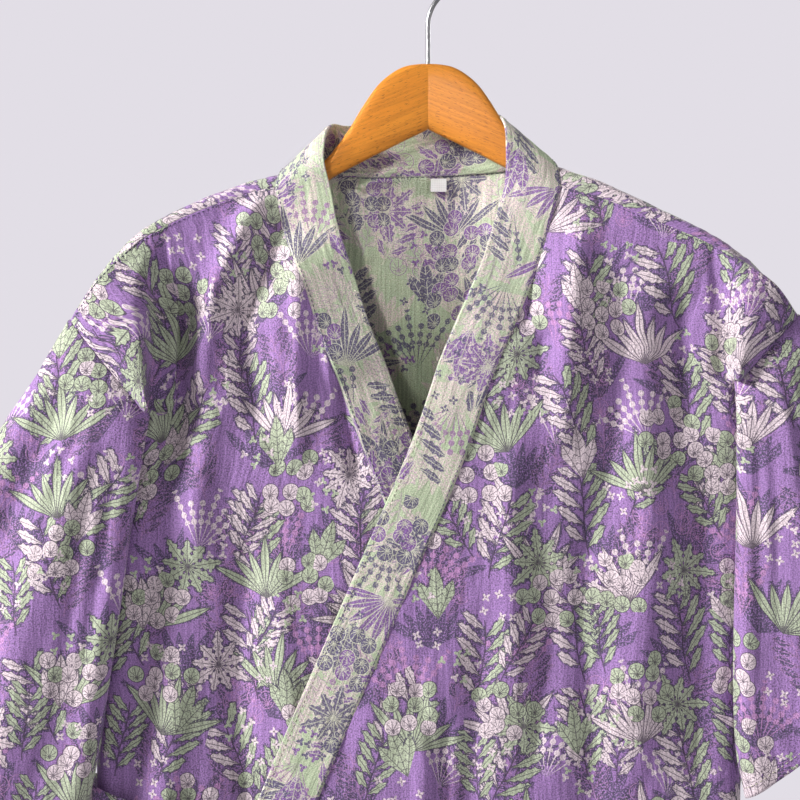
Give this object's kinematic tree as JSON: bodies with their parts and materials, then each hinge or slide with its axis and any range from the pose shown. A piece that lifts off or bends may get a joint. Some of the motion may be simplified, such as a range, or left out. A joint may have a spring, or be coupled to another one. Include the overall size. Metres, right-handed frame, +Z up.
{
  "type": "kimono robe on a hanger",
  "caption": "Light printed kimono robe, right front lapped under left, hung by its shoulders on a wooden hanger with a steel hook.",
  "frame": {"origin": "inside top of the hook's loop, where a rail carries it", "axes": "+Z up along the hanging robe, +X towards the robe's own left side, and the robe's front faces -Y"},
  "size_m": [0.792, 0.1169, 1.2537],
  "materials": {
    "robe_cloth": "two-sided cotton gauze, purple outside with a leaf print",
    "collar_cloth": "the same gauze with its green reverse outwards, two layers stitched",
    "belt_cloth": "the same gauze as a flat folded strip",
    "label_cloth": "plain white woven tape",
    "hanger_wood": "clear lacquered hardwood",
    "hook_steel": "drawn steel wire"
  },
  "bodies": {
    "root": {"front_over": "robe_cloth", "front_under": "robe_cloth", "back": "robe_cloth", "sleeve_left": "robe_cloth", "sleeve_right": "robe_cloth", "collar": "collar_cloth", "belt": "belt_cloth", "belt_knot": "belt_cloth", "belt_end_left": "belt_cloth", "belt_end_right": "belt_cloth", "size_label": "label_cloth", "hanger_body": "hanger_wood", "hanger_hook": "hook_steel"}
  },
  "joints": []
}
